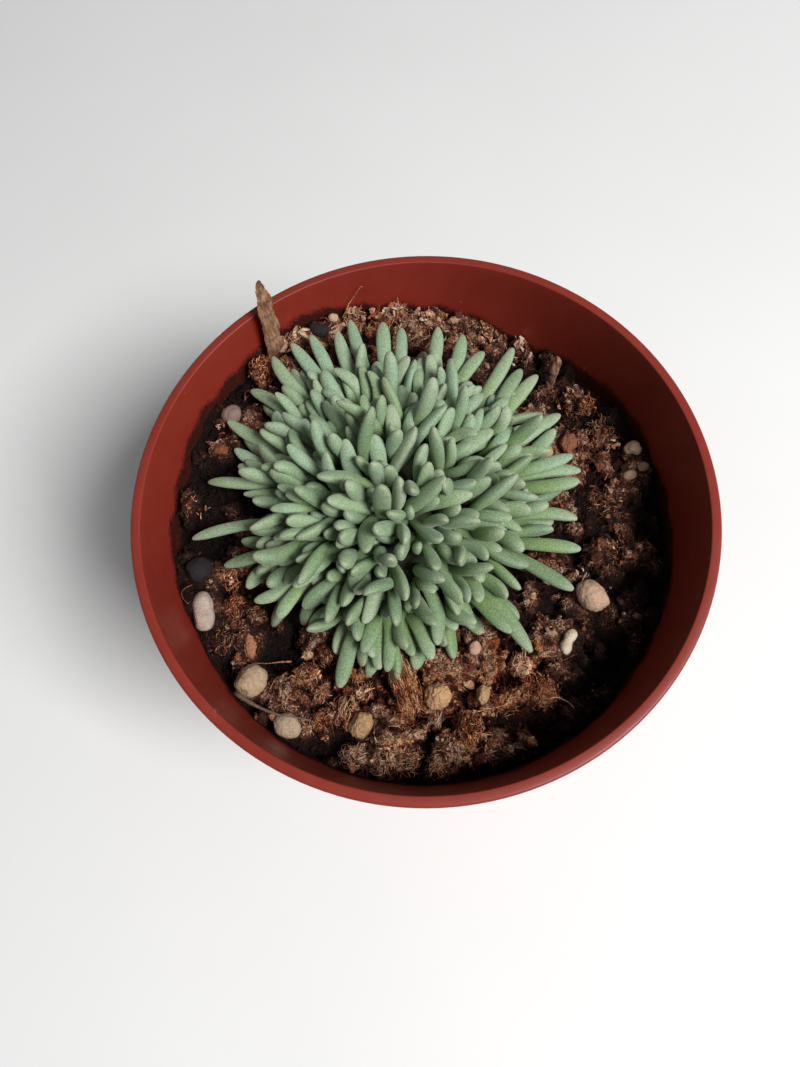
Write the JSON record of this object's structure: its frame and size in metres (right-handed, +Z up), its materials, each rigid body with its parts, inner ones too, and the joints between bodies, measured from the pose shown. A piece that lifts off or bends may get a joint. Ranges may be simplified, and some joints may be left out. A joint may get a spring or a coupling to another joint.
{
  "type": "potted succulent",
  "caption": "Small round cushion of finger-shaped blue-green succulent leaves growing in peat soil with scattered pebbles, in a tapered round terracotta-coloured plastic pot",
  "frame": {"origin": "the centre of the pot's foot, on the surface it stands on", "axes": "+Z is up along the pot's axis and -Y is the front, the side nearest to the picture's camera; X runs to the right"},
  "size_m": [0.085, 0.085, 0.0768],
  "materials": {
    "pot": "satin terracotta-coloured plastic with fine scratches",
    "soil": "loose dark peat with red-brown fibres",
    "cushion": "firm glaucous leaf skin, finely papillose",
    "bark_sliver": "weathered bark",
    "bark_chip": "weathered bark",
    "twig": "dry and rough",
    "pebble_white_left": "dull, slightly rough",
    "stone_charcoal_left": "dull, slightly rough",
    "pebble_grey_back": "dull, slightly rough",
    "pebble_tan_left": "dull, slightly rough",
    "pebble_pale_left": "dull, slightly rough",
    "pebble_tan_front_left": "dull, slightly rough",
    "pebble_tan_front": "dull, slightly rough",
    "pebble_small_front": "dull, slightly rough",
    "pebble_tan_right": "dull, slightly rough",
    "pebble_hooked_right": "dull, slightly rough",
    "pebble_pink_front": "dull, slightly rough",
    "pebble_orange_front": "dull, slightly rough",
    "pebble_wall_right": "dull, slightly rough",
    "pebble_wall_right_small": "dull, slightly rough",
    "chip_orange_left": "dry and fibrous",
    "stone_black_back": "dull, slightly rough",
    "pebble_white_back": "dull, slightly rough",
    "pebble_tan_back": "dull, slightly rough",
    "chip_brown_back": "dry and fibrous",
    "chip_pink_left": "dry and fibrous"
  },
  "bodies": {
    "root": {"pot": "pot", "soil": "soil", "cushion": "cushion", "bark_sliver": "bark_sliver", "bark_chip": "bark_chip", "twig": "twig", "pebble_white_left": "pebble_white_left", "stone_charcoal_left": "stone_charcoal_left", "pebble_grey_back": "pebble_grey_back", "pebble_tan_left": "pebble_tan_left", "pebble_pale_left": "pebble_pale_left", "pebble_tan_front_left": "pebble_tan_front_left", "pebble_tan_front": "pebble_tan_front", "pebble_small_front": "pebble_small_front", "pebble_tan_right": "pebble_tan_right", "pebble_hooked_right": "pebble_hooked_right", "pebble_pink_front": "pebble_pink_front", "pebble_orange_front": "pebble_orange_front", "pebble_wall_right": "pebble_wall_right", "pebble_wall_right_small": "pebble_wall_right_small", "chip_orange_left": "chip_orange_left", "stone_black_back": "stone_black_back", "pebble_white_back": "pebble_white_back", "pebble_tan_back": "pebble_tan_back", "chip_brown_back": "chip_brown_back", "chip_pink_left": "chip_pink_left"}
  },
  "joints": []
}
